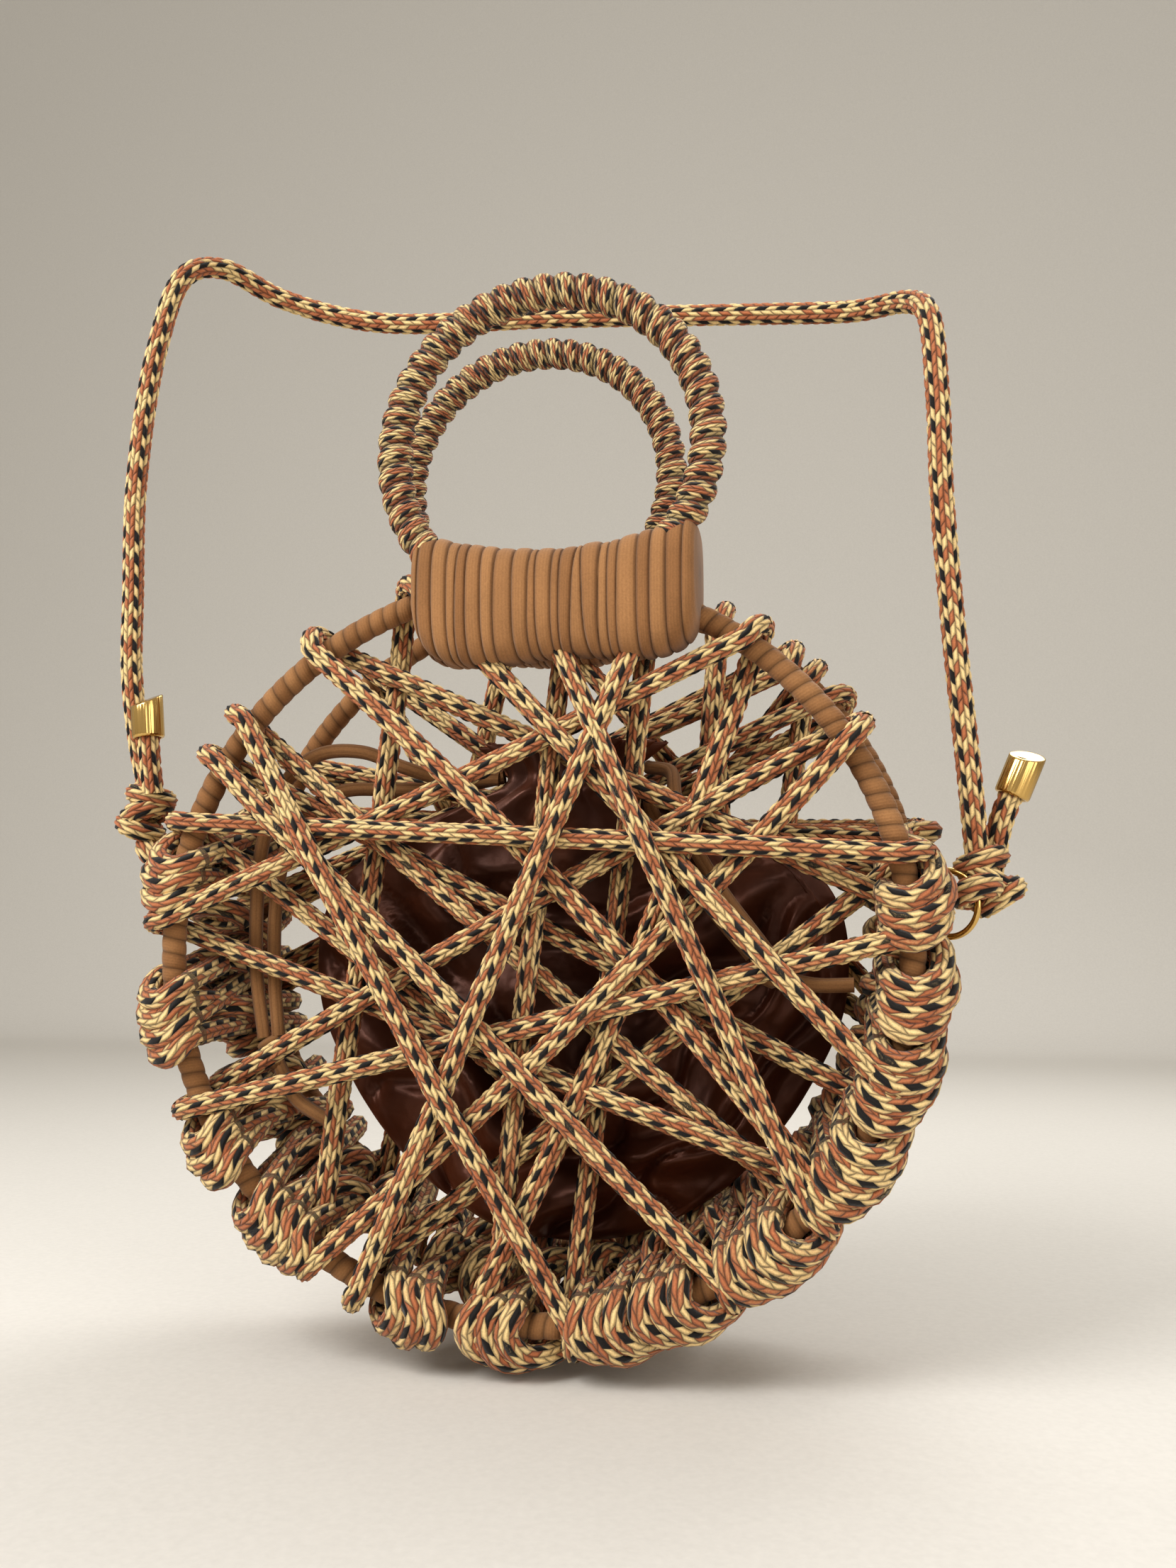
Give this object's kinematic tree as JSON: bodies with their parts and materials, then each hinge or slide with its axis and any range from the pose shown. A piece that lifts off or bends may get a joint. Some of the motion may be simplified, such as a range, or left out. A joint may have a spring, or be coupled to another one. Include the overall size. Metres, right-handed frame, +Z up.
{
  "type": "round cord bag",
  "caption": "Round bag of knitted cord on two wrapped hoops, with ring handles, a satin pouch and a knotted cord strap.",
  "frame": {"origin": "top middle of the strap, where a hook or a shoulder holds the bag up", "axes": "+Z up, +Y from the front face to the back face, +X to the right as the front face is seen"},
  "size_m": [0.3792, 0.1181, 0.4555],
  "materials": {
    "jersey": "matte cotton jersey strip",
    "cord": "matte knitted cord in three colours",
    "strap_cord": "matte knitted cord in three colours",
    "drawstring": "matte cotton jersey cord",
    "satin": "glossy satin",
    "gold": "polished"
  },
  "bodies": {
    "root": {"front_hoop": "jersey", "back_hoop": "jersey", "front_binding": "jersey", "back_binding": "jersey", "front_handle_ring": "cord", "back_handle_ring": "cord", "front_web": "cord", "back_web": "cord", "gusset": "cord", "pouch": "satin", "strap_ring_left": "gold", "strap_ring_right": "gold", "strap": "strap_cord", "strap_tail_left": "strap_cord", "strap_tail_right": "strap_cord", "strap_knot_left": "strap_cord", "strap_knot_right": "strap_cord", "end_cap_left": "gold", "end_cap_right": "gold", "drawstring_left_outer": "drawstring", "drawstring_left_inner": "drawstring", "drawstring_left_knot": "drawstring", "drawstring_left_tail": "drawstring", "drawstring_right_outer": "drawstring", "drawstring_right_inner": "drawstring", "drawstring_right_knot": "drawstring", "drawstring_right_tail": "drawstring"}
  },
  "joints": []
}
